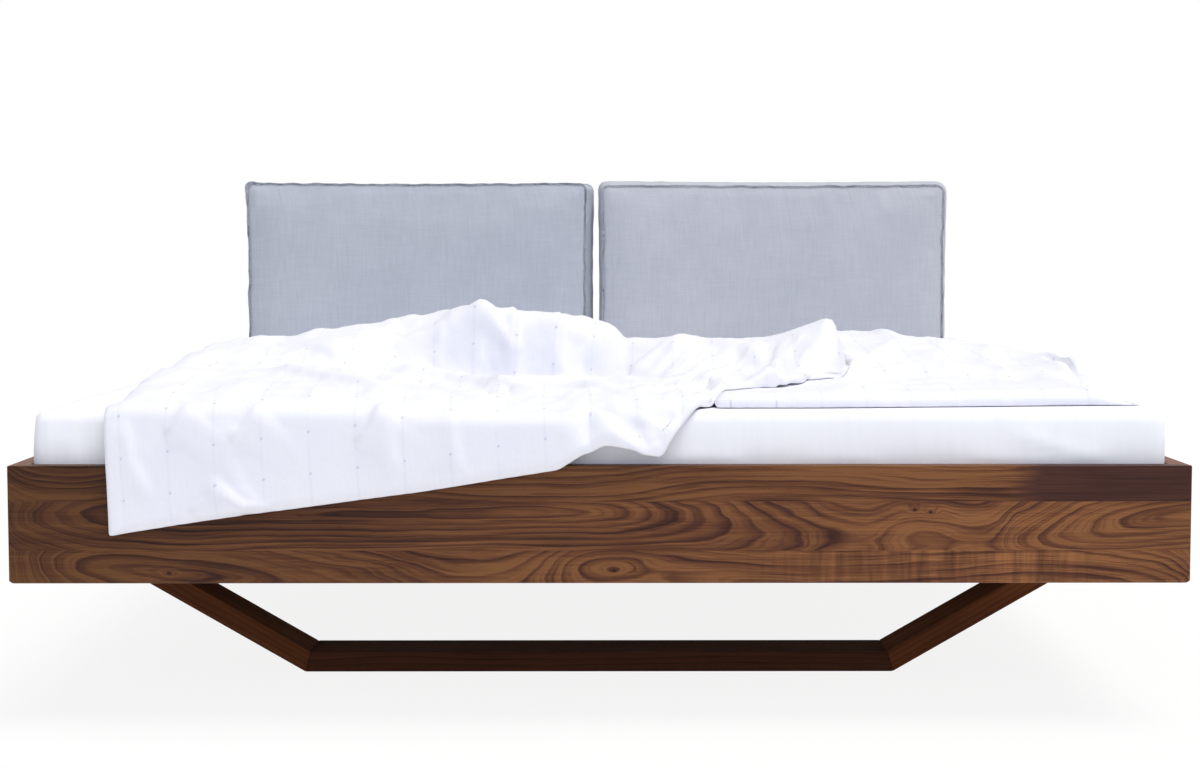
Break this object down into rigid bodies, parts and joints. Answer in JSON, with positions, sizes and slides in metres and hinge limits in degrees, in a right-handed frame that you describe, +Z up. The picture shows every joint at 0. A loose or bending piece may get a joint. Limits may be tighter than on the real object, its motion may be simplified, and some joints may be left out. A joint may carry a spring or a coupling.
{
  "type": "bed",
  "caption": "Low double bed on trapezoid sled runners: plain walnut board frame, upholstered back cushions, mattress and duvets.",
  "frame": {"origin": "on the floor under the centre of the bounding box", "axes": "+X to the right seen from the foot, +Y from the foot to the head, +Z up"},
  "size_m": [1.876, 2.1858, 0.9323],
  "materials": {
    "walnut": "oiled walnut, satin",
    "runner_walnut": "dark oiled walnut, satin",
    "slat_wood": "sanded beech",
    "plywood": "sanded birch plywood",
    "bracket_steel": "black powder coat",
    "felt": "pressed felt",
    "webbing": "woven webbing",
    "upholstery": "blue-grey linen weave",
    "sheet_cotton": "white jersey sheet",
    "duvet_cotton": "white percale with fine woven stripes"
  },
  "bodies": {
    "frame": {"foot_board": "walnut", "head_board": "walnut", "side_rail_left": "walnut", "side_rail_right": "walnut", "corner_bracket_foot_left": "bracket_steel", "corner_bracket_foot_right": "bracket_steel", "corner_bracket_head_left": "bracket_steel", "corner_bracket_head_right": "bracket_steel", "runner_front_floor_bar": "runner_walnut", "runner_front_top_beam": "runner_walnut", "runner_front_leg_left": "runner_walnut", "felt_glide_front_left": "felt", "runner_bracket_front_left": "bracket_steel", "runner_front_leg_right": "runner_walnut", "felt_glide_front_right": "felt", "runner_bracket_front_right": "bracket_steel", "runner_rear_floor_bar": "runner_walnut", "runner_rear_top_beam": "runner_walnut", "runner_rear_leg_left": "runner_walnut", "felt_glide_rear_left": "felt", "runner_bracket_rear_left": "bracket_steel", "runner_rear_leg_right": "runner_walnut", "felt_glide_rear_right": "felt", "runner_bracket_rear_right": "bracket_steel", "slat_ledge_left": "slat_wood", "slat_ledge_right": "slat_wood", "centre_beam": "slat_wood", "beam_shoe_foot": "bracket_steel", "beam_shoe_head": "bracket_steel", "slat_01": "slat_wood", "slat_02": "slat_wood", "slat_03": "slat_wood", "slat_04": "slat_wood", "slat_05": "slat_wood", "slat_06": "slat_wood", "slat_07": "slat_wood", "slat_08": "slat_wood", "slat_09": "slat_wood", "slat_10": "slat_wood", "slat_11": "slat_wood", "slat_12": "slat_wood", "slat_13": "slat_wood", "slat_14": "slat_wood", "slat_strap_left": "webbing", "slat_strap_right": "webbing", "cushion_bracket_left_left": "bracket_steel", "cushion_bracket_left_right": "bracket_steel", "cushion_bracket_right_left": "bracket_steel", "cushion_bracket_right_right": "bracket_steel"},
    "mattress": {"mattress": "sheet_cotton"},
    "duvet_right": {"duvet_right": "duvet_cotton"},
    "duvet_left": {"duvet_left": "duvet_cotton"},
    "cushion_left": {"cushion_left": "upholstery", "cushion_panel_left": "plywood", "cushion_socket_left_left": "bracket_steel", "cushion_socket_left_right": "bracket_steel"},
    "cushion_right": {"cushion_right": "upholstery", "cushion_panel_right": "plywood", "cushion_socket_right_left": "bracket_steel", "cushion_socket_right_right": "bracket_steel"}
  },
  "joints": [
    {"name": "mattress_lift", "type": "slide", "parent": "frame", "child": "mattress", "axis": [0, 0, 1], "range_m": [0, 0.25]},
    {"name": "duvet_right_lift", "type": "slide", "parent": "mattress", "child": "duvet_right", "axis": [0, 0, 1], "range_m": [0, 0.2]},
    {"name": "duvet_left_lift", "type": "slide", "parent": "duvet_right", "child": "duvet_left", "axis": [0, 0, 1], "range_m": [0, 0.25]},
    {"name": "cushion_left_lift", "type": "slide", "parent": "frame", "child": "cushion_left", "axis": [0, 0, 1], "range_m": [0, 0.18]},
    {"name": "cushion_right_lift", "type": "slide", "parent": "frame", "child": "cushion_right", "axis": [0, 0, 1], "range_m": [0, 0.18]}
  ]
}
